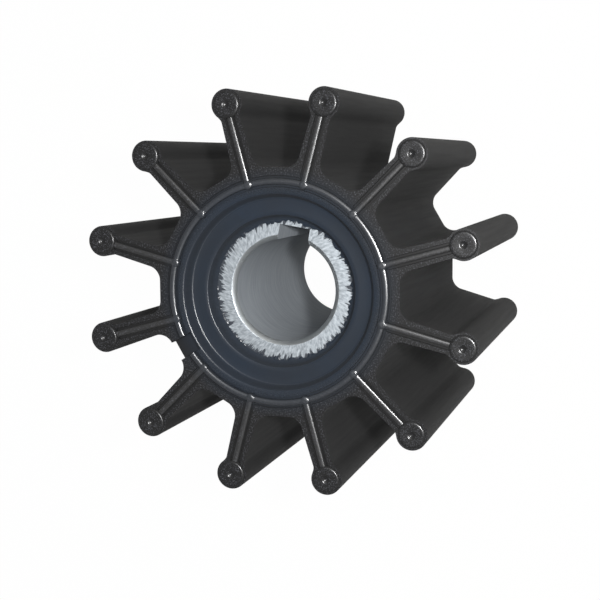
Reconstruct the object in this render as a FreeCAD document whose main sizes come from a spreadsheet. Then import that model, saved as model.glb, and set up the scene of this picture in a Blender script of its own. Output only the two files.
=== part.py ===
"""A flexible-vane pump impeller: rubber vanes and hub moulded onto a keyed metal sleeve.

It stands on one end, with its axis along +Z and its origin on the axis at the lower end.
The lower end has the same section as the upper one. Only the notch is on the upper end alone.
"""
import FreeCAD, Part
import math
import os

import Sketcher
from FreeCAD import Placement, Rotation, Vector

# The driving sizes, in millimetres and degrees.
SIZES = (
    ("outer_diameter", 82.5, "over the vane tips"),
    ("overall_width", 63.5, "along the axis, over the raised discs on the vane tips"),
    ("vane_count", 12, "vanes"),
    ("bulb_diameter", 6.2, "round tip of a vane"),
    ("bulb_end_step", 0.4, "rim left round the raised disc on the end of a round tip"),
    ("vane_tip_thickness", 3.8, "vane where it meets its round tip"),
    ("vane_root_thickness", 4.7, "vane where it enters the hub"),
    ("vane_root_fillet", 2.0, "corner between vane and hub"),
    ("bulb_fillet", 0.6, "corner between vane and round tip"),
    ("bore_diameter", 20.6, "shaft bore"),
    ("bore_chamfer", 0.9, "chamfer at both ends of the bore"),
    ("keyway_width", 6.35, "keyway"),
    ("keyway_depth", 2.7, "from the bore's wall to the keyway's floor"),
    ("keyway_angle", 95.0, "keyway, from +X towards +Y"),
    ("keyway_backing", 2.0, "metal from the keyway's floor to the sleeve's outside"),
    ("seat_depth", 6.0, "from the raised discs to the metal sleeve's end"),
    ("lip_width", 1.0, "rubber lip over the edge of the sleeve's end"),
    ("recess_depth", 3.0, "from the raised discs to the recess floor"),
    ("recess_floor_width", 3.7, "recess floor, from the sleeve's outside to the recess wall"),
    ("recess_draft", 0.7, "how far the recess wall leans outwards"),
    ("rim_width", 2.5, "from the recess mouth to the middle of the ring bead"),
    ("hub_edge", 2.7, "from the middle of the ring bead to the hub's flats"),
    ("land_drop", 0.5, "end faces of hub and vanes, below the raised discs"),
    ("crest_drop", 0.12, "bead crests, below the raised discs"),
    ("bead_crest_width", 0.7, "crest of a sealing bead"),
    ("bead_foot_width", 1.3, "foot of a sealing bead"),
    ("bead_groove_width", 0.5, "mouth of the V groove on each side of a bead"),
    ("bead_groove_depth", 0.5, "V groove, below the end faces of hub and vanes"),
    ("notch_width", 4.0, "notch across the hub's rim"),
    ("notch_depth", 2.7, "notch, below the raised discs"),
    ("notch_inset", 0.5, "from the recess mouth to the notch's inner end"),
    ("notch_gap", 7, "gap that holds the notch, counted from the gap after +X"),
)

# Places worked out from the driving sizes, from the bore outwards.
BORE_RADIUS = "(Sizes.bore_diameter / 2)"
KEYWAY_FLOOR = "(%s + Sizes.keyway_depth)" % BORE_RADIUS
SLEEVE_RADIUS = "(%s + Sizes.keyway_backing)" % KEYWAY_FLOOR
LIP_RADIUS = "(%s - Sizes.lip_width)" % SLEEVE_RADIUS
FLOOR_RADIUS = "(%s + Sizes.recess_floor_width)" % SLEEVE_RADIUS
MOUTH_RADIUS = "(%s + Sizes.recess_draft)" % FLOOR_RADIUS
RING_RADIUS = "(%s + Sizes.rim_width)" % MOUTH_RADIUS
FLAT_RADIUS = "(%s + Sizes.hub_edge)" % RING_RADIUS
TIP_RADIUS = "((Sizes.outer_diameter - Sizes.bulb_diameter) / 2)"

# Places along the axis.
TOP = "Sizes.overall_width"
LAND_LENGTH = TOP + " - 2 * Sizes.land_drop"
SLOT_FLOOR = "(Sizes.land_drop + Sizes.bead_groove_depth)"

doc = FreeCAD.newDocument("impeller")
sheet = doc.addObject("Spreadsheet::Sheet", "Sizes")
for line, (alias, size, note) in enumerate(SIZES, start=1):
    sheet.set("A%d" % line, note)
    sheet.set("B%d" % line, str(size))
    sheet.setAlias("B%d" % line, alias)
doc.recompute()


def now(expression):
    """The present value of an expression in the sheet's names."""
    return float(sheet.evalExpression(expression.replace("Sizes.", "")))


def new_body(label):
    body = doc.addObject("PartDesign::Body", label)
    body.Label = label
    return body


def origin_part(body, role):
    """The body's own origin plane or axis of that role."""
    return next(item for item in body.Origin.OriginFeatures if item.Role == role)


def new_sketch(body, name, plane, lift="0", turn="0"):
    """A sketch on the body's own origin plane, lifted off it and turned on it."""
    sketch = body.newObject("Sketcher::SketchObject", name)
    sketch.AttachmentSupport = [(origin_part(body, plane), "")]
    sketch.MapMode = "FlatFace"
    sketch.AttachmentOffset = Placement(Vector(0, 0, now(lift)), Rotation(Vector(0, 0, 1), now(turn)))
    if lift != "0":
        sketch.setExpression("AttachmentOffset.Base.z", lift)
    if turn != "0":
        sketch.setExpression("AttachmentOffset.Rotation.Angle", turn)
    return sketch


def measure(sketch, kind, *points, size):
    """A sketch dimension whose value is an expression."""
    index = sketch.addConstraint(Sketcher.Constraint(kind, *points, now(size)))
    sketch.setExpression("Constraints[%d]" % index, size)


def pin(sketch, item, point, across, up):
    """Holds a sketch point at its distances from the two axes; "0" puts it on the axis."""
    if across == "0":
        sketch.addConstraint(Sketcher.Constraint("PointOnObject", item, point, -2))
    else:
        measure(sketch, "DistanceX", -1, 1, item, point, size=across)
    if up == "0":
        sketch.addConstraint(Sketcher.Constraint("PointOnObject", item, point, -1))
    else:
        measure(sketch, "DistanceY", -1, 1, item, point, size=up)


def add_outline(sketch, corners):
    """A closed, straight-sided outline through corners, each a pair of expressions."""
    places = [Vector(now(across), now(up), 0) for across, up in corners]
    first = sketch.GeometryCount
    for place, following in zip(places, places[1:] + places[:1]):
        sketch.addGeometry(Part.LineSegment(place, following), False)
    for step, (across, up) in enumerate(corners):
        item = first + step
        before = first + (step - 1) % len(corners)
        sketch.addConstraint(Sketcher.Constraint("Coincident", before, 2, item, 1))
        pin(sketch, item, 1, across, up)


def from_top(corners):
    """The same corners at the upper end, where depths are measured down from the top."""
    return [(across, "%s - %s" % (TOP, depth)) for across, depth in corners]


def add_at_both_ends(sketch, corners):
    """An outline at the lower end, with corners as (across, depth), and its twin at the upper."""
    add_outline(sketch, corners)
    add_outline(sketch, from_top(corners))


def slot_section(middle):
    """The slot that a bead stands in. Its sides slope down to the bead's foot, as two V grooves."""
    foot = "Sizes.bead_foot_width / 2"
    mouth = "(%s + Sizes.bead_groove_width)" % foot
    return [
        ("%s - %s" % (middle, mouth), "0"),
        ("%s + %s" % (middle, mouth), "0"),
        ("%s + %s" % (middle, mouth), "Sizes.land_drop"),
        ("%s + %s" % (middle, foot), SLOT_FLOOR),
        ("%s - %s" % (middle, foot), SLOT_FLOOR),
        ("%s - %s" % (middle, mouth), "Sizes.land_drop"),
    ]


def bead_section(middle):
    """A bead: a narrow crest on sloping flanks that spring from the slot's floor."""
    crest, foot = "Sizes.bead_crest_width / 2", "Sizes.bead_foot_width / 2"
    return [
        ("%s - %s" % (middle, crest), "Sizes.crest_drop"),
        ("%s + %s" % (middle, crest), "Sizes.crest_drop"),
        ("%s + %s" % (middle, foot), SLOT_FLOOR),
        ("%s - %s" % (middle, foot), SLOT_FLOOR),
    ]


def add_feature(body, kind, name, sketch, **settings):
    """A sketch-based feature, checked to have changed the body's volume the right way."""
    before = body.Shape.Volume if body.Tip else 0.0
    feature = body.newObject("PartDesign::" + kind, name)
    feature.Profile = sketch
    for setting, content in settings.items():
        if isinstance(content, str):
            feature.setExpression(setting, content)
        else:
            setattr(feature, setting, content)
    sketch.Visibility = False
    doc.recompute()
    removes = kind in ("Pocket", "Groove")
    if (body.Shape.Volume < before) != removes:
        raise RuntimeError("%s left the body's volume on the wrong side" % name)
    return feature


def add_turned(body, kind, name, sketch):
    """A Revolution or Groove of a sketch round the body's axis."""
    return add_feature(body, kind, name, sketch, ReferenceAxis=(sketch, ["V_Axis"]), Angle=360)


def add_ring(body, feature, name):
    """Repeats a feature once for each vane, evenly round the body's axis."""
    ring = body.newObject("PartDesign::PolarPattern", name)
    ring.Originals = [feature]
    ring.Axis = (origin_part(body, "Z_Axis"), [""])
    ring.Angle = 360
    ring.setExpression("Occurrences", "Sizes.vane_count")
    body.Tip = ring
    doc.recompute()
    return ring


def round_edges(body, name, radius, wanted):
    """Rounds the body's edges for which wanted(edge) is true."""
    base = body.Tip
    edges = enumerate(base.Shape.Edges, start=1)
    names = ["Edge%d" % number for number, edge in edges if wanted(edge)]
    fillet = body.newObject("PartDesign::Fillet", name)
    fillet.Base = (base, names)
    fillet.setExpression("Radius", radius)
    body.Tip = fillet
    doc.recompute()
    return fillet


def upright(edge):
    """Whether an edge is straight and runs along the axis."""
    start, end = edge.Vertexes[0].Point, edge.Vertexes[-1].Point
    return isinstance(edge.Curve, Part.Line) and math.hypot(end.x - start.x, end.y - start.y) < 1e-6


def reach(edge):
    """An edge's distance from the axis at its middle."""
    middle = edge.CenterOfMass
    return math.hypot(middle.x, middle.y)


# The rubber moulding: hub, vanes with round tips, sealing beads and the recesses for the sleeve.
moulding = new_body("vane_moulding")

# The hub has one flat between each two vanes, so its corners lie under the vanes.
hub_sketch = new_sketch(moulding, "HubSection", "XY_Plane", lift="Sizes.land_drop")
vanes_now = int(now("vane_count"))
corner_reach = FLAT_RADIUS + " / cos(180deg / Sizes.vane_count)"
corner_places = [
    Vector(math.cos(2 * math.pi * step / vanes_now), math.sin(2 * math.pi * step / vanes_now), 0)
    * now(corner_reach)
    for step in range(vanes_now)
]
for place, following in zip(corner_places, corner_places[1:] + corner_places[:1]):
    hub_sketch.addGeometry(Part.LineSegment(place, following), False)
circle = Part.Circle(Vector(0, 0, 0), Vector(0, 0, 1), now(corner_reach))
around = hub_sketch.addGeometry(circle, True)
hub_sketch.addConstraint(Sketcher.Constraint("Coincident", around, 3, -1, 1))
measure(hub_sketch, "Radius", around, size=corner_reach)
for side in range(vanes_now):
    following = (side + 1) % vanes_now
    hub_sketch.addConstraint(Sketcher.Constraint("Coincident", side, 2, following, 1))
    hub_sketch.addConstraint(Sketcher.Constraint("PointOnObject", side, 2, around))
    if following:
        hub_sketch.addConstraint(Sketcher.Constraint("Equal", 0, following))
hub_sketch.addConstraint(Sketcher.Constraint("PointOnObject", 0, 1, -1))
add_feature(moulding, "Pad", "Hub", hub_sketch, Length=LAND_LENGTH)

# One vane: flanks that taper outwards, and a round tip that rubs round the pump's housing.
vane_sketch = new_sketch(moulding, "VaneSection", "XY_Plane", lift="Sizes.land_drop")
root_radius = FLAT_RADIUS + " - Sizes.vane_root_thickness / 2"
root_half, tip_half = now("vane_root_thickness") / 2, now("vane_tip_thickness") / 2
bulb_radius = now("bulb_diameter") / 2
neck_radius = now(TIP_RADIUS) - math.sqrt(bulb_radius ** 2 - tip_half ** 2)
neck_turn = math.pi - math.asin(tip_half / bulb_radius)
bulb_circle = Part.Circle(Vector(now(TIP_RADIUS), 0, 0), Vector(0, 0, 1), bulb_radius)
upper_root, lower_root = Vector(now(root_radius), root_half, 0), Vector(now(root_radius), -root_half, 0)
upper_neck, lower_neck = Vector(neck_radius, tip_half, 0), Vector(neck_radius, -tip_half, 0)
upper_flank = vane_sketch.addGeometry(Part.LineSegment(upper_root, upper_neck), False)
bulb = vane_sketch.addGeometry(Part.ArcOfCircle(bulb_circle, -neck_turn, neck_turn), False)
lower_flank = vane_sketch.addGeometry(Part.LineSegment(lower_neck, lower_root), False)
root_line = vane_sketch.addGeometry(Part.LineSegment(lower_root, upper_root), False)
vane_sketch.addConstraint(Sketcher.Constraint("Coincident", upper_flank, 2, bulb, 2))
vane_sketch.addConstraint(Sketcher.Constraint("Coincident", bulb, 1, lower_flank, 1))
vane_sketch.addConstraint(Sketcher.Constraint("Coincident", lower_flank, 2, root_line, 1))
vane_sketch.addConstraint(Sketcher.Constraint("Coincident", root_line, 2, upper_flank, 1))
vane_sketch.addConstraint(Sketcher.Constraint("Symmetric", root_line, 1, root_line, 2, -1))
vane_sketch.addConstraint(Sketcher.Constraint("Symmetric", bulb, 1, bulb, 2, -1))
measure(vane_sketch, "DistanceX", -1, 1, root_line, 1, size=root_radius)
measure(vane_sketch, "DistanceY", root_line, 1, root_line, 2, size="Sizes.vane_root_thickness")
measure(vane_sketch, "DistanceY", bulb, 1, bulb, 2, size="Sizes.vane_tip_thickness")
measure(vane_sketch, "Diameter", bulb, size="Sizes.bulb_diameter")
pin(vane_sketch, bulb, 3, TIP_RADIUS, "0")
vane = add_feature(moulding, "Pad", "Vane", vane_sketch, Length=LAND_LENGTH)
add_ring(moulding, vane, "Vanes")


# The corners where the vanes meet the hub and the round tips are rounded along their whole length.
def at_root(edge):
    return upright(edge) and reach(edge) < (now(FLAT_RADIUS) + now(TIP_RADIUS)) / 2


def at_neck(edge):
    return upright(edge) and not at_root(edge) and reach(edge) < now(TIP_RADIUS)


round_edges(moulding, "VaneRoots", "Sizes.vane_root_fillet", at_root)
round_edges(moulding, "BulbNecks", "Sizes.bulb_fillet", at_neck)

# The hollow along the axis: a stepped recess at each end, and the seat that holds the sleeve
# between two lips.
hollow_sketch = new_sketch(moulding, "HollowSection", "XZ_Plane")
lower_wall = [
    (MOUTH_RADIUS, "0"),
    (FLOOR_RADIUS, "Sizes.recess_depth"),
    (SLEEVE_RADIUS, "Sizes.recess_depth"),
    (LIP_RADIUS, "Sizes.seat_depth"),
    (SLEEVE_RADIUS, "Sizes.seat_depth"),
]
add_outline(hollow_sketch, [("0", "0"), *lower_wall, *reversed(from_top(lower_wall)), ("0", TOP)])
add_turned(moulding, "Groove", "Hollow", hollow_sketch)

# The sealing beads stand in a slot: first the slots in both end faces.
ring_slot_sketch = new_sketch(moulding, "RingSlotSection", "XZ_Plane")
add_at_both_ends(ring_slot_sketch, slot_section(RING_RADIUS))
add_turned(moulding, "Groove", "RingSlots", ring_slot_sketch)
vane_slot_sketch = new_sketch(moulding, "VaneSlotSection", "YZ_Plane", lift=RING_RADIUS)
add_at_both_ends(vane_slot_sketch, slot_section("0"))
vane_run = TIP_RADIUS + " - " + RING_RADIUS
vane_slot = add_feature(moulding, "Pocket", "VaneSlot", vane_slot_sketch, Length=vane_run, Reversed=True)
add_ring(moulding, vane_slot, "VaneSlots")

# Then the beads themselves: a ring round the hub, and one along the middle of each vane.
ring_bead_sketch = new_sketch(moulding, "RingBeadSection", "XZ_Plane")
add_at_both_ends(ring_bead_sketch, bead_section(RING_RADIUS))
add_turned(moulding, "Revolution", "RingBeads", ring_bead_sketch)
vane_bead_sketch = new_sketch(moulding, "VaneBeadSection", "YZ_Plane", lift=RING_RADIUS)
add_at_both_ends(vane_bead_sketch, bead_section("0"))
vane_bead = add_feature(moulding, "Pad", "VaneBead", vane_bead_sketch, Length=vane_run)
add_ring(moulding, vane_bead, "VaneBeads")

# Each round tip ends in a raised disc, where its vane's bead stops.
disc_sketch = new_sketch(moulding, "DiscSection", "XY_Plane")
disc_diameter = "Sizes.bulb_diameter - 2 * Sizes.bulb_end_step"
disc_circle = Part.Circle(Vector(now(TIP_RADIUS), 0, 0), Vector(0, 0, 1), now(disc_diameter) / 2)
disc_edge = disc_sketch.addGeometry(disc_circle, False)
pin(disc_sketch, disc_edge, 3, TIP_RADIUS, "0")
measure(disc_sketch, "Diameter", disc_edge, size=disc_diameter)
disc = add_feature(moulding, "Pad", "DiscRun", disc_sketch, Length=TOP)
add_ring(moulding, disc, "Discs")

# A notch is cut across the rim of the upper end, in the middle of one gap between vanes.
notch_turn = "(Sizes.notch_gap + 0.5) * 360 / Sizes.vane_count"
notch_sketch = new_sketch(moulding, "NotchSection", "XY_Plane", lift=TOP, turn=notch_turn)
notch_inside = MOUTH_RADIUS + " + Sizes.notch_inset"
notch_outside = FLAT_RADIUS + " + Sizes.notch_width"
add_outline(notch_sketch, [
    (notch_inside, "-Sizes.notch_width / 2"),
    (notch_outside, "-Sizes.notch_width / 2"),
    (notch_outside, "Sizes.notch_width / 2"),
    (notch_inside, "Sizes.notch_width / 2"),
])
add_feature(moulding, "Pocket", "Notch", notch_sketch, Length="Sizes.notch_depth")

# The metal sleeve: a turned tube with a chamfered bore and one keyway.
sleeve = new_body("hub_sleeve")
tube_sketch = new_sketch(sleeve, "TubeSection", "XZ_Plane")
lower_half = [
    (BORE_RADIUS, "(Sizes.seat_depth + Sizes.bore_chamfer)"),
    (BORE_RADIUS + " + Sizes.bore_chamfer", "Sizes.seat_depth"),
    (SLEEVE_RADIUS, "Sizes.seat_depth"),
]
add_outline(tube_sketch, lower_half + from_top(lower_half)[::-1])
add_turned(sleeve, "Revolution", "Tube", tube_sketch)
key_sketch = new_sketch(sleeve, "KeywaySection", "XY_Plane", turn="Sizes.keyway_angle")
add_outline(key_sketch, [
    ("0", "-Sizes.keyway_width / 2"),
    (KEYWAY_FLOOR, "-Sizes.keyway_width / 2"),
    (KEYWAY_FLOOR, "Sizes.keyway_width / 2"),
    ("0", "Sizes.keyway_width / 2"),
])
add_feature(sleeve, "Pocket", "Keyway", key_sketch, Length=TOP, Reversed=True)

# Nothing is written unless every object is sound.
doc.recompute()
for item in doc.Objects:
    if "Invalid" in item.State or "Error" in item.State:
        raise RuntimeError("%s is %s" % (item.Label, item.State))
os.makedirs("parts", exist_ok=True)
for body in (moulding, sleeve):
    shape = body.Shape
    if shape.isNull() or not shape.isValid() or len(shape.Solids) != 1:
        raise RuntimeError("%s is not one sound solid" % body.Label)
    shape.exportStep("parts/%s.step" % body.Label)
    box = shape.BoundBox
    print("%s: %.0f mm3, x %.2f..%.2f, y %.2f..%.2f, z %.2f..%.2f" % (
        body.Label, shape.Volume, box.XMin, box.XMax, box.YMin, box.YMax, box.ZMin, box.ZMax))
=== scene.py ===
"""A flexible-vane pump impeller: black rubber vanes and hub, moulded onto a keyed metal sleeve.

Each section gives its sizes in millimetres, and they become metres where a mesh is made.
"""
import math
import random

import bmesh
import bpy
from mathutils import Matrix, Vector
from mathutils.geometry import delaunay_2d_cdt


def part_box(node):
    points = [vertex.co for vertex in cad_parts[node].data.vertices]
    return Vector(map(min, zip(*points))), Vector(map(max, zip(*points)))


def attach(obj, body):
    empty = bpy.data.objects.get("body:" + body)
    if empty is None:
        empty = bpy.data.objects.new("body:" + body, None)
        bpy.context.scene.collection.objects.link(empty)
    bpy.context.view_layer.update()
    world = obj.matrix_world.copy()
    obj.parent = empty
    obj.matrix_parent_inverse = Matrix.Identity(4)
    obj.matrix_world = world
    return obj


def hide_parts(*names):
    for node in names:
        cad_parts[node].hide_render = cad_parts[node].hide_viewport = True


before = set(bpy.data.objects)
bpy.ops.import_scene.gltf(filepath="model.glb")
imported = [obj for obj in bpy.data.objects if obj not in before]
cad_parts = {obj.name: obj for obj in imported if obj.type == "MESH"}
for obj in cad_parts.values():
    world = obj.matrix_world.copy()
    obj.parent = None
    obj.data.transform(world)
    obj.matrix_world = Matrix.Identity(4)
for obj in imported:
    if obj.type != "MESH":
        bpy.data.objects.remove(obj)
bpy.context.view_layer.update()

MM = 0.001

# The photograph: a lens held close over the impeller looks down into its upper end, from a
# little to the +X +Y side, and the picture is turned about the line of sight.
EYE = Vector((64.2, 44.3, 300.8))
AIM = Vector((5.06, 0.10, 63.5))
PICTURE_TURN = math.radians(14.14)
LENS, SENSOR = 76.4, 36.0

scene = bpy.context.scene
scene.view_settings.view_transform = "Standard"
towards_eye = (EYE - AIM).normalized()
level = Vector((0, 1, 0)).cross(towards_eye).normalized()
picture_axes = Matrix((level, towards_eye.cross(level), towards_eye)).transposed()
picture_axes = picture_axes @ Matrix.Rotation(PICTURE_TURN, 3, "Z")
camera = bpy.data.objects.new("camera", bpy.data.cameras.new("camera"))
camera.data.lens, camera.data.sensor_width = LENS, SENSOR
camera.data.clip_start, camera.data.clip_end = 0.01, 20
camera.matrix_world = Matrix.Translation(EYE * MM) @ picture_axes.to_4x4()
scene.collection.objects.link(camera)
scene.camera = camera


# Studio light: three soft boxes, placed round the picture and aimed at the middle of the impeller.
def add_soft_box(name, right, up, near, size, power, colour=(1, 1, 1)):
    """A square soft box, placed in millimetres to the picture's right, upwards and nearer."""
    lamp = bpy.data.lights.new(name, "AREA")
    lamp.shape, lamp.size, lamp.energy, lamp.color = "SQUARE", size * MM, power, colour
    offset = picture_axes @ Vector((right, up, near))
    box = bpy.data.objects.new(name, lamp)
    box.location = (AIM + offset) * MM
    box.rotation_euler = offset.to_track_quat("Z", "Y").to_euler()
    scene.collection.objects.link(box)


# A small box beside the lens lights the bore down to the edge of its shade, a wide one in front
# shines along the beads, and a dim, warm one overhead lifts the flanks of the vanes.
add_soft_box("lens_box", right=40, up=8, near=250, size=20, power=0.7)
add_soft_box("front_box", right=-85, up=-4, near=896, size=140, power=6.8)
add_soft_box(
    "overhead_box", right=60, up=560, near=420, size=500, power=0.5, colour=(1, 0.96, 0.88))


# The floor and the air round it: a wide table in matt paint, which keeps a soft shadow. Both
# are plain white to the camera, and mirror rays meet a share of that white.
MIRRORED_WHITE = 0.22
AIR_LIGHT = 0.25
FLOOR_WHITE = 0.98
FLOOR_REACH = 4000


def add_node(tree, kind, inputs=None, **settings):
    """Adds a shader node; an input is a value or the output socket that feeds it."""
    node = tree.nodes.new("ShaderNode" + kind)
    for name, setting in settings.items():
        setattr(node, name, setting)
    for name, feed in (inputs or {}).items():
        if isinstance(feed, bpy.types.NodeSocket):
            tree.links.new(feed, node.inputs[name])
        else:
            node.inputs[name].default_value = feed
    return node


def linear(hex_colour):
    """An sRGB hex colour as the linear RGBA that Blender's sockets take."""
    channels = [int(hex_colour[start:start + 2], 16) / 255 for start in (1, 3, 5)]
    curved = [c / 12.92 if c <= 0.04045 else ((c + 0.055) / 1.055) ** 2.4 for c in channels]
    return (*curved, 1)


def seen_rays(tree):
    """1 for rays from the camera or through glass, a share for mirror rays, and 0 for the rest."""
    rays = add_node(tree, "LightPath")
    mirrored = add_node(tree, "Math", {
        0: rays.outputs["Is Glossy Ray"], 1: MIRRORED_WHITE}, operation="MULTIPLY")
    met = add_node(tree, "Math", {
        0: rays.outputs["Is Camera Ray"], 1: mirrored.outputs[0]}, operation="MAXIMUM")
    seen = add_node(tree, "Math", {
        0: met.outputs[0], 1: rays.outputs["Is Transmission Ray"]}, operation="MAXIMUM")
    return seen.outputs[0]


world = bpy.data.worlds.new("white_studio")
scene.world = world
world.use_nodes = True
air = world.node_tree
air.nodes.clear()
level_of_air = add_node(air, "Mix", {
    "Factor": seen_rays(air), "A": AIR_LIGHT, "B": 1.0}, data_type="FLOAT")
glow = add_node(air, "Background", {"Color": (1, 1, 1, 1), "Strength": level_of_air.outputs[0]})
add_node(air, "OutputWorld", {"Surface": glow.outputs[0]})

# Matt paint in a pale grey, so that little light comes back up between the vanes.
floor_paint = bpy.data.materials.new("matt_white_floor")
floor_paint.use_nodes = True
tree = floor_paint.node_tree
tree.nodes.clear()
share = add_node(tree, "Math", {0: seen_rays(tree), 1: FLOOR_WHITE}, operation="MULTIPLY")
matt = add_node(tree, "BsdfDiffuse", {"Color": linear("#c4c4c2")})
white = add_node(tree, "Emission", {"Color": (1, 1, 1, 1), "Strength": 1.0})
mixed = add_node(tree, "MixShader", {0: share.outputs[0], 1: matt.outputs[0], 2: white.outputs[0]})
add_node(tree, "OutputMaterial", {"Surface": mixed.outputs[0]})
floor_mesh = bpy.data.meshes.new("floor")
floor_corners = [Vector((x, y, 0)) * FLOOR_REACH * MM for x, y in ((-1, -1), (1, -1), (1, 1), (-1, 1))]
floor_mesh.from_pydata(floor_corners, [], [(0, 1, 2, 3)])
floor_mesh.materials.append(floor_paint)
floor = bpy.data.objects.new("floor", floor_mesh)
scene.collection.objects.link(floor)

# The rubber moulding: nitrile rubber, pressed hot round the sleeve in a steel mould. Its twelve
# vanes end in round bulbs, and a rounded bead stands in a slot round the hub and along each vane,
# to seal against the pump's end plates.
VANES = 12
SECTOR = math.pi / VANES
_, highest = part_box("vane_moulding")
TOP = highest.z / MM
MIDDLE = TOP / 2

# Seen along the shaft: reaches out from the axis, half widths of a vane, and radii.
TIP_REACH = highest.x / MM
BULB = 3.1
TIP = TIP_REACH - BULB
HUB_FLAT = 24.6
ROOT_HALF, NECK_HALF = 2.35, 1.9
ROOT_REACH = HUB_FLAT - ROOT_HALF
NECK_REACH = TIP - math.sqrt(BULB ** 2 - NECK_HALF ** 2)
ROOT_FILLET, NECK_FILLET = 2.0, 0.6
RING = 21.9
MOUTH, MOUTH_ROUND = 19.4, 0.35
SEAT = 15.0

# On the end faces: depths below the top, and the radii or half widths of the raised marks.
LAND = 0.5
SLOT_FLOOR = 1.0
BEAD, BEAD_SINK = 0.62, 0.12
PIP = 0.9
DISC = 2.72
DISH, DISH_DEPTH = 2.0, 0.04
DIMPLE, DIMPLE_DEPTH = 0.7, 0.3

# The width of the level strip inside the outline, and the steps in each arc.
EDGE_FLAT = 0.2
ARC_STEPS, DISC_STEPS, PIP_STEPS, BULB_STEPS = 12, 24, 12, 26


def joined(first, second, fillet):
    """The depth inside two shapes that meet in a rounded inner corner."""
    reach = math.hypot(max(fillet + first, 0), max(fillet + second, 0))
    return reach - max(fillet, min(-first, -second))


def rubber_depth(x, y):
    """How far inside the moulding's outline a point lies, seen along the shaft.

    The point is in the half sector between a vane's middle, on +X, and the middle of a gap.
    """
    hub = HUB_FLAT - (x * math.cos(SECTOR) + y * math.sin(SECTOR))
    taper = (ROOT_HALF - NECK_HALF) / (NECK_REACH - ROOT_REACH)
    vane = min(ROOT_HALF - taper * (x - ROOT_REACH) - y, TIP - x)
    bulb = BULB - math.hypot(x - TIP, y)
    return joined(joined(hub, vane, ROOT_FILLET), bulb, NECK_FILLET)


def drawn_to(x, y, depth, rounds=12, step=1e-4, least_slope=0.2):
    """The point moved straight towards the outline, or away, until it lies at that depth."""
    for _ in range(rounds):
        here = rubber_depth(x, y)
        slope = Vector((rubber_depth(x + step, y) - here, rubber_depth(x, y + step) - here)) / step
        move = (depth - here) / max(slope.length_squared, least_slope)
        x, y = x + slope.x * move, y + slope.y * move
    return Vector((x, y))


def spaced(start, end, steps):
    """Points from start towards end, without the end itself."""
    return [start.lerp(end, step / steps) for step in range(steps)]


def outline_guide(past_flank=0.12, root_span=2.4, neck_span=0.9):
    """Points near the outline, from the middle of a gap round to the tip, closer at the corners."""
    middle = Vector((math.cos(SECTOR), math.sin(SECTOR))) * HUB_FLAT
    inwards = Vector((math.sin(SECTOR), -math.cos(SECTOR)))
    corner = middle + inwards * ((middle.y - ROOT_HALF + past_flank) / math.cos(SECTOR))
    neck = Vector((NECK_REACH, NECK_HALF))
    out = (neck - corner).normalized()
    stops = (middle, corner - inwards * root_span, corner, corner + out * root_span,
             neck - out * neck_span, neck)
    guide = []
    for stop, following, steps in zip(stops, stops[1:], (3, 9, 9, 5, 5)):
        guide += spaced(stop, following, steps)
    start = math.pi - math.asin(NECK_HALF / BULB)
    for step in range(BULB_STEPS + 1):
        turn = start * (1 - step / BULB_STEPS)
        guide.append(Vector((TIP + BULB * math.cos(turn), BULB * math.sin(turn))))
    return guide


def along(profile, distance):
    """The height on a profile of (distance, height) points, level beyond both of its ends."""
    for (near, low), (far, high) in zip(profile, profile[1:]):
        if distance <= far:
            return low + (high - low) * max(distance - near, 0) / (far - near)
    return profile[-1][1]


# The bead from its middle to its foot, as heights above the slot's floor.
BEAD_SECTION = (
    (0.0, 1.0), (0.12, 0.995), (0.24, 0.980), (0.36, 0.953), (0.46, 0.915), (0.54, 0.83),
    (0.59, 0.69), (BEAD, 0.45), (BEAD + 0.02, 0.0))
# The slot's steep wall from its floor up to the land, and the land beside it, as depths.
SLOT_WALL = ((1.04, 1.0), (1.10, 0.75), (1.16, LAND), (1.36, LAND))
# The rim of the raised round marks, as distances in from their edge and depths below the top.
RIM = ((0.0, 0.5), (0.02, 0.34), (0.07, 0.2), (0.16, 0.09), (0.28, 0.025), (0.42, 0.0))
RIM_GAP = 0.02
DISC_LINES = (2.1, 1.8, 1.4, 1.0, 0.85, DIMPLE, 0.5, 0.3, 0.15)
# The lines of a vane's bead run on to here, under the disc.
BEAD_END = TIP - 1.5


def rim_depth(inside):
    """Depth below the top, a distance inside the edge of a raised disc or pip."""
    return SLOT_FLOOR if inside < 0 else along(RIM, inside)


def end_relief(x, y):
    """Depth below the top of a point of the moulding's end face."""
    off_ring = abs(math.hypot(x, y) - RING)
    off_vane = math.hypot(min(x - RING, 0) + max(x - TIP, 0), y)
    to_tip, to_pip = math.hypot(x - TIP, y), math.hypot(x - RING, y)
    depth = max(along(SLOT_WALL, off_ring), along(SLOT_WALL, off_vane))
    if to_tip > DISC:
        bead = max(along(BEAD_SECTION, off_ring), along(BEAD_SECTION, off_vane))
        depth = min(depth, SLOT_FLOOR + BEAD_SINK - bead)
    else:
        depth = rim_depth(DISC - to_tip)
        if to_tip < DISH:
            depth += DISH_DEPTH * (1 + math.cos(math.pi * to_tip / DISH)) / 2
        if to_tip < DIMPLE:
            depth += DIMPLE_DEPTH * (1 - (to_tip / DIMPLE) ** 2)
    return min(depth, rim_depth(PIP - to_pip))


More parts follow.
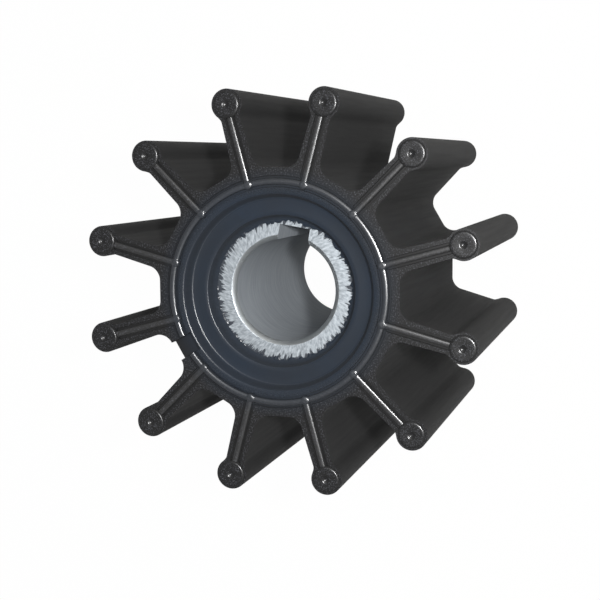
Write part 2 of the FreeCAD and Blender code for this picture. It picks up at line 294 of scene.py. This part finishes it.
def end_face(inner):
    """The flat domain of half a sector's end face, cut along every line where its relief turns."""
    points, edges = [], []

    def add_line(line):
        first = len(points)
        points.extend(line)
        edges.extend((first + step, first + step + 1) for step in range(len(line) - 1))

    def arc(centre, reach, turn, steps):
        """Points of an arc round a centre on the vane's middle line, from that line up to a turn."""
        turns = [turn * step / steps for step in range(steps + 1)]
        return [Vector((centre + reach * math.cos(t), reach * math.sin(t))) for t in turns]

    offsets = sorted(off for off, _ in (*BEAD_SECTION, *SLOT_WALL))
    rings = sorted({RING + side * off for off in offsets for side in (1, -1)})
    tip_rims = [DISC + RIM_GAP, *(DISC - inside for inside, _ in RIM), *DISC_LINES]
    pip_rims = [PIP - inside for inside, _ in RIM[:-1]]
    # Every line that ends on the vane's middle line or the gap's is given a point on the border.
    on_vane = {*rings, *(RING + side * rim for rim in pip_rims for side in (1, -1))}
    on_vane |= {TIP + side * rim for rim in tip_rims for side in (1, -1)}
    border = list(inner)
    border += [Vector((reach, 0)) for reach in sorted(on_vane, reverse=True)]
    border += arc(0, MOUTH + MOUTH_ROUND, SECTOR, ARC_STEPS)
    border += [arc(0, reach, SECTOR, 1)[-1] for reach in rings]
    add_line(border + border[:1])
    for reach in rings:
        add_line(arc(0, reach, SECTOR, ARC_STEPS))
    for off in offsets[1:]:
        add_line([Vector((RING, off)), Vector((BEAD_END, off))])
    for rim in tip_rims:
        add_line(arc(TIP, rim, math.pi, DISC_STEPS))
    for rim in pip_rims:
        add_line(arc(RING, rim, math.pi, PIP_STEPS))
    # The last two settings keep the triangles inside the border and weld points 0.00001 mm apart.
    flat, _, triangles, _, _, _ = delaunay_2d_cdt(points, edges, [list(range(len(border)))], 1, 1e-5)
    return flat, triangles


# The recess down to the sleeve, as radii and depths below the top, then the seat round the sleeve.
RECESS = (
    (19.75, 0.50), (19.60, 0.53), (19.47, 0.62), (19.38, 0.80), (19.20, 1.40), (19.02, 2.05),
    (18.90, 2.50), (18.78, 2.78), (18.62, 2.93), (18.40, 3.00), (17.30, 3.02), (16.20, 3.02),
    (15.42, 3.00), (15.30, 3.04), (15.22, 3.16), (15.14, 3.60), (15.04, 4.30), (14.94, 4.80),
    (14.78, 5.25), (14.52, 5.62), (14.22, 5.86), (14.22, 6.00), (SEAT, 6.00), (SEAT, 14.0),
    (SEAT, 23.0), (SEAT, MIDDLE),
)
WALL_STEPS = 3


def half_sector():
    """Half of one vane's sector, from the top down to mid height, as points and faces."""
    guide = outline_guide()
    # A level strip inside the outline keeps the shading of the land flat up to its sharp edge.
    outline, inner = [[drawn_to(*place, depth) for place in guide] for depth in (0, EDGE_FLAT)]
    flat, faces = end_face(inner)
    faces = [tuple(face) for face in faces]
    places = [Vector((place.x, place.y, TOP - end_relief(place.x, place.y))) for place in flat]

    def add_strip(upper, lower):
        """Joins two rows of points that run from the gap's middle to the tip."""
        first = len(places)
        places.extend(upper + lower)
        for step in range(len(upper) - 1):
            a, b = first + step, first + len(upper) + step
            faces.append((a, b, b + 1, a + 1))

    wall_top = TOP - LAND
    add_strip([Vector((*p, wall_top)) for p in inner], [Vector((*p, wall_top)) for p in outline])
    for step in range(WALL_STEPS):
        high = wall_top + (MIDDLE - wall_top) * step / WALL_STEPS
        low = wall_top + (MIDDLE - wall_top) * (step + 1) / WALL_STEPS
        add_strip([Vector((*p, high)) for p in outline], [Vector((*p, low)) for p in outline])
    for (reach, depth), (next_reach, next_depth) in zip(RECESS, RECESS[1:]):
        turns = [SECTOR * step / ARC_STEPS for step in range(ARC_STEPS + 1)]
        add_strip(
            [Vector((reach * math.cos(t), reach * math.sin(t), TOP - depth)) for t in turns],
            [Vector((next_reach * math.cos(t), next_reach * math.sin(t), TOP - next_depth))
             for t in turns])
    return places, faces


def new_piece(name, places, faces, material, weld=0.002):
    """A closed mesh piece from points in millimetres, welded where they meet."""
    mesh = bpy.data.meshes.new(name)
    mesh.from_pydata([Vector(place) * MM for place in places], [], faces)
    work = bmesh.new()
    work.from_mesh(mesh)
    bmesh.ops.remove_doubles(work, verts=work.verts, dist=weld * MM)
    bmesh.ops.recalc_face_normals(work, faces=work.faces)
    work.to_mesh(mesh)
    work.free()
    mesh.materials.append(material)
    piece = bpy.data.objects.new(name, mesh)
    scene.collection.objects.link(piece)
    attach(piece, "root")
    return piece


def carve(piece, cutter):
    """Cuts a closed mesh away from a piece for good, and drops the cutter."""
    cut = piece.modifiers.new("cut", "BOOLEAN")
    cut.object, cut.operation, cut.solver = cutter, "DIFFERENCE", "MANIFOLD"
    graph = bpy.context.evaluated_depsgraph_get()
    carved = bpy.data.meshes.new_from_object(piece.evaluated_get(graph))
    piece.modifiers.clear()
    piece.data = carved
    bpy.data.objects.remove(cutter)


def shade_corners(piece, corner=38):
    """Smooth shading, broken where two faces meet at more than the corner angle."""
    work = bmesh.new()
    work.from_mesh(piece.data)
    for face in work.faces:
        face.smooth = True
    for edge in work.edges:
        edge.smooth = edge.calc_face_angle(0) < math.radians(corner)
    work.to_mesh(piece.data)
    work.free()
    weighted = piece.modifiers.new("weighted_normals", "WEIGHTED_NORMAL")
    weighted.keep_sharp = True
    weighted.weight = 60


def block(name, low, high, turn):
    """A plain closed block to cut with, in millimetres, turned about the shaft."""
    spans = list(zip(low, high))
    corners = [(x, y, z) for x in spans[0] for y in spans[1] for z in spans[2]]
    turned = Matrix.Rotation(turn, 3, "Z")
    sides = [(0, 1, 3, 2), (4, 6, 7, 5), (0, 4, 5, 1), (2, 3, 7, 6), (0, 2, 6, 4), (1, 5, 7, 3)]
    mesh = bpy.data.meshes.new(name)
    mesh.from_pydata([turned @ Vector(corner) * MM for corner in corners], [], sides)
    cutter = bpy.data.objects.new(name, mesh)
    scene.collection.objects.link(cutter)
    return cutter


# Moulded nitrile rubber: satin black, slightly bluer round the hub, and drawn faintly along the shaft
# where the vanes left the mould. The real grain and drawn marks are finer. These are as coarse as they
# need to be to show.
GRAIN, DRAWN_MARK, CLOUD = 0.28, 0.9, 9
# Heights from the middle at which a bead's crest starts to be rubbed, and is rubbed all over.
RUBBED_FROM, RUBBED_TO = MIDDLE - 0.36, MIDDLE - 0.22


def moulded_rubber():
    material = bpy.data.materials.new("moulded_nitrile_rubber")
    material.use_nodes = True
    tree = material.node_tree
    shader = tree.nodes["Principled BSDF"]
    shader.inputs["IOR"].default_value = 1.52
    shader.inputs["Specular IOR Level"].default_value = 0.42
    coordinates = add_node(tree, "TexCoord")
    place = coordinates.outputs["Object"]
    grain = add_node(tree, "TexNoise", {"Vector": place, "Scale": 1 / (GRAIN * MM), "Detail": 2.0})
    drawn = add_node(tree, "Mapping", {"Vector": place, "Scale": (1, 1, 0.04)})
    streaks = add_node(tree, "TexNoise", {
        "Vector": drawn.outputs[0], "Scale": 1 / (DRAWN_MARK * MM), "Detail": 3.0})
    clouds = add_node(tree, "TexNoise", {"Vector": place, "Scale": 1 / (CLOUD * MM), "Detail": 3.0})
    parts = add_node(tree, "SeparateXYZ", {"Vector": place})
    flat_place = add_node(tree, "CombineXYZ", {"X": parts.outputs["X"], "Y": parts.outputs["Y"]})
    reach = add_node(tree, "VectorMath", {0: flat_place.outputs[0]}, operation="LENGTH")
    outside = add_node(tree, "MapRange", {
        "Value": reach.outputs["Value"], "From Min": 19.0 * MM, "From Max": 25.0 * MM})
    body = add_node(tree, "Mix", {
        "Factor": outside.outputs[0], "A": linear("#151e29"), "B": linear("#0e0e0f")}, data_type="RGBA")
    uneven = add_node(tree, "MapRange", {
        "Value": clouds.outputs[0], "From Min": 0.3, "From Max": 0.7, "To Min": 0.0, "To Max": 0.3})
    colour = add_node(tree, "Mix", {
        "Factor": uneven.outputs[0], "A": body.outputs["Result"], "B": linear("#181817")},
        data_type="RGBA")
    facing = add_node(tree, "SeparateXYZ", {"Vector": coordinates.outputs["Normal"]})
    upward = add_node(tree, "Math", {0: facing.outputs["Z"]}, operation="ABSOLUTE")
    on_end = add_node(tree, "MapRange", {
        "Value": upward.outputs[0], "From Min": 0.75, "From Max": 0.93})
    height = add_node(tree, "Math", {0: parts.outputs["Z"], 1: MIDDLE * MM}, operation="SUBTRACT")
    from_middle = add_node(tree, "Math", {0: height.outputs[0]}, operation="ABSOLUTE")
    # Pale specks in the lands' and discs' grain outside the hub: partly wear, partly painted glints.
    wear_and_glint_specks = add_node(tree, "MapRange", {
        "Value": grain.outputs[0], "From Min": 0.52, "From Max": 0.75, "To Min": 0.0, "To Max": 0.65})
    # Painted shade: the specks stay off the slot floors, which are left darker than the lands.
    lit_above_slots = add_node(tree, "MapRange", {
        "Value": from_middle.outputs[0],
        "From Min": (MIDDLE - SLOT_FLOOR + 0.2) * MM, "From Max": (MIDDLE - LAND - 0.1) * MM})
    # Painted light: only faces turned along the shaft get the specks, which lightens the lands and
    # discs.
    lit_flat_end = add_node(tree, "MapRange", {
        "Value": upward.outputs[0], "From Min": 0.9, "From Max": 0.98})
    lit_lands = add_node(tree, "Math", {
        0: lit_flat_end.outputs[0], 1: lit_above_slots.outputs[0]}, operation="MULTIPLY")
    lit_specks = add_node(tree, "Math", {
        0: wear_and_glint_specks.outputs[0], 1: lit_lands.outputs[0]}, operation="MULTIPLY")
    wear_and_lit_specks = add_node(tree, "Math", {
        0: lit_specks.outputs[0], 1: outside.outputs[0]}, operation="MULTIPLY")
    # Painted light: the pale speck colour, mixed in where the masks allow.
    speckled_and_lit = add_node(tree, "Mix", {
        "Factor": wear_and_lit_specks.outputs[0], "A": colour.outputs["Result"], "B": linear("#4a4b50")},
        data_type="RGBA")
    tree.links.new(speckled_and_lit.outputs["Result"], shader.inputs["Base Color"])
    drawn_gloss = add_node(tree, "MapRange", {
        "Value": streaks.outputs[0], "From Min": 0.3, "From Max": 0.7, "To Min": 0.88, "To Max": 1.0})
    # The bead crests are rubbed smooth by the end plates, out to where the discs begin.
    on_crest = add_node(tree, "MapRange", {
        "Value": from_middle.outputs[0], "From Min": RUBBED_FROM * MM, "From Max": RUBBED_TO * MM})
    before_disc = add_node(tree, "Math", {
        0: reach.outputs["Value"], 1: (TIP - DISC) * MM}, operation="LESS_THAN")
    rubbed = add_node(tree, "Math", {
        0: on_crest.outputs[0], 1: before_disc.outputs[0]}, operation="MULTIPLY")
    end_gloss = add_node(tree, "Mix", {
        "Factor": rubbed.outputs[0], "A": 0.26, "B": 0.23}, data_type="FLOAT")
    gloss = add_node(tree, "Mix", {
        "Factor": on_end.outputs[0], "A": drawn_gloss.outputs[0], "B": end_gloss.outputs[0]},
        data_type="FLOAT")
    tree.links.new(gloss.outputs[0], shader.inputs["Roughness"])
    # A trace of the grease it is fitted with lies on the crests as a clear coat.
    tree.links.new(rubbed.outputs[0], shader.inputs["Coat Weight"])
    shader.inputs["Coat Roughness"].default_value = 0.3
    unrubbed = add_node(tree, "Math", {0: 1.0, 1: rubbed.outputs[0]}, operation="SUBTRACT")
    grain_left = add_node(tree, "Math", {
        0: grain.outputs[0], 1: unrubbed.outputs[0]}, operation="MULTIPLY")
    fine = add_node(tree, "Bump", {
        "Height": grain_left.outputs[0], "Distance": 0.005 * MM, "Strength": 0.5})
    drawn_marks = add_node(tree, "Bump", {
        "Height": streaks.outputs[0], "Distance": 0.01 * MM, "Strength": 0.15,
        "Normal": fine.outputs[0]})
    tree.links.new(drawn_marks.outputs[0], shader.inputs["Normal"])
    return material


rubber = moulded_rubber()
half, half_faces = half_sector()
places, faces = [], []
for vane in range(VANES):
    turned = Matrix.Rotation(2 * SECTOR * vane, 3, "Z")
    for side in (1, -1):
        for end in (1, -1):
            first = len(places)
            for place in half:
                height = place.z if end > 0 else TOP - place.z
                places.append(turned @ Vector((place.x, side * place.y, height)))
            for face in half_faces:
                ring = face if side * end > 0 else face[::-1]
                faces.append(tuple(first + corner for corner in ring))
moulding = new_piece("rubber_moulding", places, faces, rubber)

# The notch across the hub's rim, in the middle of its gap. The cutter runs past the rubber.
NOTCH_HALF, NOTCH_DEPTH, NOTCH_START, NOTCH_GAP = 2.0, 2.7, 19.9, 7
PAST_HUB, PAST_TOP = 4, 2
carve(moulding, block(
    "notch", (NOTCH_START, -NOTCH_HALF, TOP - NOTCH_DEPTH),
    (HUB_FLAT + PAST_HUB, NOTCH_HALF, TOP + PAST_TOP), 2 * SECTOR * (NOTCH_GAP + 0.5)))
shade_corners(moulding)
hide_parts("vane_moulding")

# The metal sleeve: a turned and broached tube of plated steel, with a chamfered bore and one
# keyway. Its end was filed clean after moulding, so the rubber's edge on it is torn.
lowest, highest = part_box("hub_sleeve")
FACE = highest.z / MM
OTHER_FACE = lowest.z / MM
BORE, CHAMFER = 10.3, 0.9
KEY_HALF, KEY_FLOOR, KEY_TURN = 3.175, 13.0, math.radians(95)
PAST_FACE = 1
ROUND_STEPS = 240


def ring_piece(name, sections, material):
    """A closed ring through closed sections of radii and heights, spaced evenly all the way round."""
    places, faces = [], []
    for step, section in enumerate(sections):
        turn = 2 * math.pi * step / len(sections)
        places += [(reach * math.cos(turn), reach * math.sin(turn), z) for reach, z in section]
        count = len(section)
        here, there = step * count, (step + 1) % len(sections) * count
        for corner in range(count):
            following = (corner + 1) % count
            faces.append((here + corner, there + corner, there + following, here + following))
    return new_piece(name, places, faces, material)


# Plated steel: light silver, filed outwards from the bore on the end. The bore's tool marks scatter
# light as a matt grey does. Strokes and rings are coarser than the real ones, so that they show.
BORING_MARK = 0.7


def filed_steel():
    material = bpy.data.materials.new("filed_plated_steel")
    material.use_nodes = True
    tree = material.node_tree
    shader = tree.nodes["Principled BSDF"]
    coordinates = add_node(tree, "TexCoord")
    place = coordinates.outputs["Object"]
    parts = add_node(tree, "SeparateXYZ", {"Vector": place})
    facing = add_node(tree, "SeparateXYZ", {"Vector": coordinates.outputs["Normal"]})
    upward = add_node(tree, "Math", {0: facing.outputs["Z"]}, operation="ABSOLUTE")
    on_end = add_node(tree, "Math", {0: upward.outputs[0], 1: 0.9}, operation="GREATER_THAN")
    in_bore = add_node(tree, "Math", {0: upward.outputs[0], 1: 0.3}, operation="LESS_THAN")
    flat_place = add_node(tree, "CombineXYZ", {"X": parts.outputs["X"], "Y": parts.outputs["Y"]})
    reach = add_node(tree, "VectorMath", {0: flat_place.outputs[0]}, operation="LENGTH")
    around = add_node(tree, "VectorMath", {0: flat_place.outputs[0]}, operation="NORMALIZE")
    outwards = add_node(tree, "Math", {0: reach.outputs["Value"], 1: 1 / MM}, operation="MULTIPLY")

    def strokes(per_radian, per_mm, lean):
        """Noise drawn out from the bore: marks per radian and per mm, and lean in radians per mm."""
        turn = add_node(tree, "Math", {0: outwards.outputs[0], 1: lean}, operation="MULTIPLY")
        leant = add_node(tree, "VectorRotate", {
            "Vector": around.outputs[0], "Angle": turn.outputs[0]}, rotation_type="Z_AXIS")
        spun = add_node(tree, "VectorMath", {
            0: leant.outputs[0], 1: (per_radian, per_radian, 0)}, operation="MULTIPLY")
        drift = add_node(tree, "Math", {0: outwards.outputs[0], 1: per_mm}, operation="MULTIPLY")
        lift = add_node(tree, "CombineXYZ", {"Z": drift.outputs[0]})
        where = add_node(tree, "VectorMath", {0: spun.outputs[0], 1: lift.outputs[0]}, operation="ADD")
        return add_node(tree, "TexNoise", {
            "Vector": where.outputs[0], "Scale": 1.0, "Detail": 5.0, "Roughness": 0.6}).outputs[0]

    filing = strokes(per_radian=36, per_mm=1.2, lean=0.03)
    shine = add_node(tree, "MapRange", {
        "Value": filing, "From Min": 0.32, "From Max": 0.68, "To Min": 0.0, "To Max": 1.0})
    face_colour = add_node(tree, "Mix", {
        "Factor": shine.outputs[0], "A": linear("#7a8085"), "B": linear("#a6acb1")}, data_type="RGBA")
    # Rubber is smeared over the end, from a ragged edge outwards.
    raggedness = strokes(per_radian=20, per_mm=0.14, lean=0.02)
    edge = add_node(tree, "MapRange", {
        "Value": raggedness, "From Min": 0.32, "From Max": 0.68, "To Min": 12.4, "To Max": 15.0})
    beyond = add_node(tree, "Math", {0: outwards.outputs[0], 1: edge.outputs[0]}, operation="SUBTRACT")
    smear = add_node(tree, "MapRange", {
        "Value": beyond.outputs[0], "From Min": -0.05, "From Max": 0.1})
    smeared = add_node(tree, "Math", {0: smear.outputs[0], 1: on_end.outputs[0]}, operation="MULTIPLY")
    # The bore: faint rings from the boring tool.
    rings = add_node(tree, "Mapping", {"Vector": place, "Scale": (0.12, 0.12, 1)})
    boring = add_node(tree, "TexNoise", {
        "Vector": rings.outputs[0], "Scale": 1 / (BORING_MARK * MM), "Detail": 4.0})
    bore_shade = add_node(tree, "MapRange", {
        "Value": boring.outputs[0], "From Min": 0.3, "From Max": 0.7})
    bore_colour = add_node(tree, "Mix", {
        "Factor": bore_shade.outputs[0], "A": linear("#82878c"), "B": linear("#8f9499")},
        data_type="RGBA")
    inside = add_node(tree, "Mix", {
        "Factor": in_bore.outputs[0], "A": linear("#a4a8aa"), "B": bore_colour.outputs["Result"]},
        data_type="RGBA")
    bare = add_node(tree, "Mix", {
        "Factor": on_end.outputs[0], "A": inside.outputs["Result"], "B": face_colour.outputs["Result"]},
        data_type="RGBA")
    colour = add_node(tree, "Mix", {
        "Factor": smeared.outputs[0], "A": bare.outputs["Result"], "B": linear("#20262e")},
        data_type="RGBA")
    tree.links.new(colour.outputs["Result"], shader.inputs["Base Color"])
    matt = add_node(tree, "Math", {
        0: smeared.outputs[0], 1: in_bore.outputs[0]}, operation="MAXIMUM")
    metal = add_node(tree, "Math", {0: 1.0, 1: matt.outputs[0]}, operation="SUBTRACT")
    tree.links.new(metal.outputs[0], shader.inputs["Metallic"])
    filed_rough = add_node(tree, "MapRange", {
        "Value": filing, "From Min": 0.3, "From Max": 0.7, "To Min": 0.38, "To Max": 0.55})
    rough = add_node(tree, "Mix", {
        "Factor": in_bore.outputs[0], "A": filed_rough.outputs[0], "B": 0.8}, data_type="FLOAT")
    tree.links.new(rough.outputs[0], shader.inputs["Roughness"])
    relief = add_node(tree, "Mix", {
        "Factor": on_end.outputs[0], "A": boring.outputs[0], "B": filing}, data_type="FLOAT")
    bump = add_node(tree, "Bump", {
        "Height": relief.outputs[0], "Distance": 0.045 * MM, "Strength": 0.35})
    tree.links.new(bump.outputs[0], shader.inputs["Normal"])
    return material


steel = filed_steel()
# The section of the upper half: the chamfer with its edges just broken, then the flat end.
upper_profile = [(BORE, FACE - CHAMFER - 0.05), (BORE + 0.04, FACE - CHAMFER + 0.05),
                 (BORE + CHAMFER - 0.04, FACE - 0.04), (BORE + CHAMFER + 0.06, FACE), (SEAT, FACE)]
profile = upper_profile + [(r, FACE + OTHER_FACE - z) for r, z in reversed(upper_profile)]
sleeve = ring_piece("metal_sleeve", [profile[::-1]] * ROUND_STEPS, steel)
carve(sleeve, block(
    "keyway", (0, -KEY_HALF, OTHER_FACE - PAST_FACE), (KEY_FLOOR, KEY_HALF, FACE + PAST_FACE),
    KEY_TURN))
shade_corners(sleeve, corner=25)
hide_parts("hub_sleeve")

# The torn skin: a film of the same rubber that crept over the sleeve's end and was ripped off in
# short strips, which left teeth that point to the bore. Its root lies under the moulding's lip.
SKIN_INSIDE, SKIN_OUTSIDE = 13.95, 14.40
TEETH = 480
# The waves of its torn edge: how many there are in a turn, and how far each one swings.
SKIN_WAVES = ((11, 0.22), (60, 0.26), (160, 0.34), (TEETH, 0.12))
# Its section, as distances out from the torn edge and heights off the sleeve, and its root's height.
SKIN_EDGE = ((0.0, 0.0), (0.05, 0.05), (0.2, 0.10))
SKIN_ROOT = 0.16
SKIN_GAP = 0.002


def torn_skin(name, height, up, seed):
    """A thin ring with a ragged inner edge, on the sleeve's end face at that height."""
    chance = random.Random(seed)
    waves = [[chance.uniform(-swing, swing) for _ in range(count)] for count, swing in SKIN_WAVES]

    def swell(wave, part):
        """The height of a closed wave, a part of the way round."""
        spot = part * len(wave)
        share = spot - int(spot)
        return wave[int(spot)] * (1 - share) + wave[(int(spot) + 1) % len(wave)] * share

    sections = []
    for tooth in range(TEETH):
        torn = SKIN_INSIDE + sum(swell(wave, tooth / TEETH) for wave in waves)
        section = [(min(torn + out, SKIN_OUTSIDE), height + up * lift) for out, lift in SKIN_EDGE]
        section += [(SKIN_OUTSIDE, height + up * SKIN_ROOT), (SKIN_OUTSIDE, height)]
        sections.append(section)
    return ring_piece(name, sections, rubber)


for skin in (torn_skin("torn_skin_upper", FACE + SKIN_GAP, 1, seed=4),
             torn_skin("torn_skin_lower", OTHER_FACE - SKIN_GAP, -1, seed=9)):
    shade_corners(skin, corner=50)
